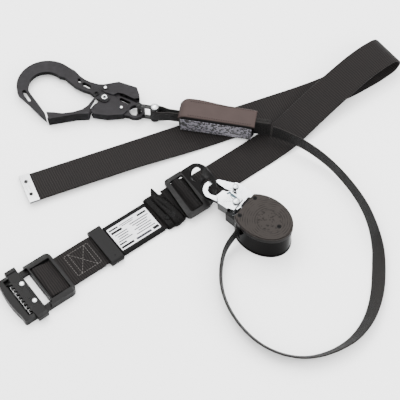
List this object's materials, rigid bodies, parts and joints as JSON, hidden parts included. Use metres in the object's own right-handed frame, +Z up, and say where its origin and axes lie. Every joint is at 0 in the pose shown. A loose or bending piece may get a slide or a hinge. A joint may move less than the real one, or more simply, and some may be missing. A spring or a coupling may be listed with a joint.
{
  "type": "self retracting lifeline",
  "caption": "Belt-mounted self retracting lanyard: sliding-buckle waist belt, snap-hooked webbing reel, folded shock absorber and large scaffold hook, laid out flat.",
  "frame": {"origin": "on the surface that the set lies on, under the middle of its outline without the free lanyard webbing", "axes": "+Z up; +X to the right and +Y away from a person who looks at the laid-out set with the buckle at the near left"},
  "size_m": [0.5532, 0.5136, 0.044],
  "materials": {
    "webbing": "ribbed polyester webbing",
    "lanyard": "fine woven webbing",
    "core_webbing": "tear webbing",
    "bright_plate": "satin",
    "zinc": "zinc plated",
    "dark_steel": "satin black",
    "black_paint": "semi-gloss black",
    "grey_paint": "satin dark grey",
    "spring_steel": "oiled",
    "black_screw": "black oxide",
    "bronze": "sintered",
    "grey_plastic": "moulded",
    "drum_plastic": "moulded",
    "black_vinyl": "soft vinyl",
    "cover_vinyl": "soft vinyl",
    "black_gloss": "gloss",
    "lid_brown": "satin, warm dark grey",
    "label_white": "clear-covered card",
    "label_grey": "printed cloth"
  },
  "bodies": {
    "set": {"belt_webbing": "webbing", "belt_tip": "bright_plate", "tip_rivets": "dark_steel", "buckle_frame": "black_paint", "belt_bar": "dark_steel", "label_sleeve": "black_vinyl", "label_card": "label_white", "hanger_band": "black_vinyl", "hanger_snaps": "dark_steel", "ring_webbing": "webbing", "d_ring_plate": "black_paint", "snap_body": "zinc", "snap_rivets": "zinc", "snap_spring": "spring_steel", "reel_bracket": "dark_steel", "bracket_bolts": "dark_steel", "reel_case": "black_gloss", "reel_lid": "lid_brown", "reel_screws": "black_screw", "bearing_plate": "dark_steel", "drum_shaft": "zinc", "drum_bush": "bronze", "lead_webbing": "lanyard", "power_spring": "spring_steel", "pawl_pin": "spring_steel", "pawl_spring": "spring_steel", "web_guide": "grey_plastic", "lanyard_webbing": "lanyard", "absorber_core": "core_webbing", "absorber_cover": "cover_vinyl", "absorber_label": "label_grey", "absorber_stub": "lanyard", "front_strap": "lanyard", "link_pin": "zinc"},
    "slider": {"buckle_slider": "black_paint", "slider_rivets": "zinc"},
    "keeper": {"belt_keeper": "grey_plastic"},
    "snap_gate": {"snap_gate": "zinc"},
    "snap_lever": {"snap_lever": "zinc"},
    "drum": {"drum": "drum_plastic", "drum_webbing": "lanyard", "ratchet_wheel": "zinc"},
    "pawl": {"lock_pawl": "zinc"},
    "link": {"swivel_link": "dark_steel"},
    "hook": {"hook_frame": "grey_paint", "hook_cheeks": "grey_paint", "hook_rivets": "zinc", "gate_rivet": "zinc", "lever_spring": "spring_steel", "gate_spring": "spring_steel"},
    "gate": {"hook_gate": "grey_paint"},
    "lever": {"hook_lever": "grey_paint"}
  },
  "joints": [
    {"name": "slider_slide", "type": "slide", "parent": "set", "child": "slider", "axis": [0.8018, 0.5976, 0], "range_m": [0, 0.008]},
    {"name": "keeper_slide", "type": "slide", "parent": "set", "child": "keeper", "axis": [0.8018, 0.5976, 0], "range_m": [-0.05, 0]},
    {"name": "snap_gate_hinge", "type": "hinge", "parent": "set", "child": "snap_gate", "pos_m": [0.03579, -0.03337, 0.0222], "axis": [0, 0, 1], "range_deg": [0, 11], "stiffness_Nm_per_rad": 0.05, "springref_deg": -17.19},
    {"name": "snap_lever_hinge", "type": "hinge", "parent": "set", "child": "snap_lever", "pos_m": [0.03631, -0.05844, 0.0222], "axis": [0, 0, -1], "range_deg": [0, 6], "stiffness_Nm_per_rad": 0.05, "springref_deg": -17.19},
    {"name": "drum_spin", "type": "hinge", "parent": "set", "child": "drum", "pos_m": [0.08094, -0.09808, 0.022], "axis": [0, 0, 1], "continuous": true},
    {"name": "pawl_hinge", "type": "hinge", "parent": "set", "child": "pawl", "pos_m": [0.07059, -0.07525, 0.0358], "axis": [0, 0, 1], "range_deg": [0, 12], "stiffness_Nm_per_rad": 0.005, "springref_deg": -17.19},
    {"name": "link_swing", "type": "hinge", "parent": "set", "child": "link", "pos_m": [-0.07543, 0.09997, 0.016], "axis": [0, 0, 1], "range_deg": [-15, 15]},
    {"name": "hook_swing", "type": "hinge", "parent": "link", "child": "hook", "pos_m": [-0.09748, 0.10394, 0.016], "axis": [0, 0, 1], "range_deg": [-30, 18]},
    {"name": "gate_hinge", "type": "hinge", "parent": "hook", "child": "gate", "pos_m": [-0.147, 0.125, 0.0125], "axis": [0, 0, -1], "range_deg": [0, 24], "stiffness_Nm_per_rad": 0.1, "springref_deg": -17.19},
    {"name": "lever_hinge", "type": "hinge", "parent": "hook", "child": "lever", "pos_m": [-0.14628, 0.14234, 0.0125], "axis": [0, 0, -1], "range_deg": [0, 8], "stiffness_Nm_per_rad": 0.1, "springref_deg": -17.19}
  ]
}
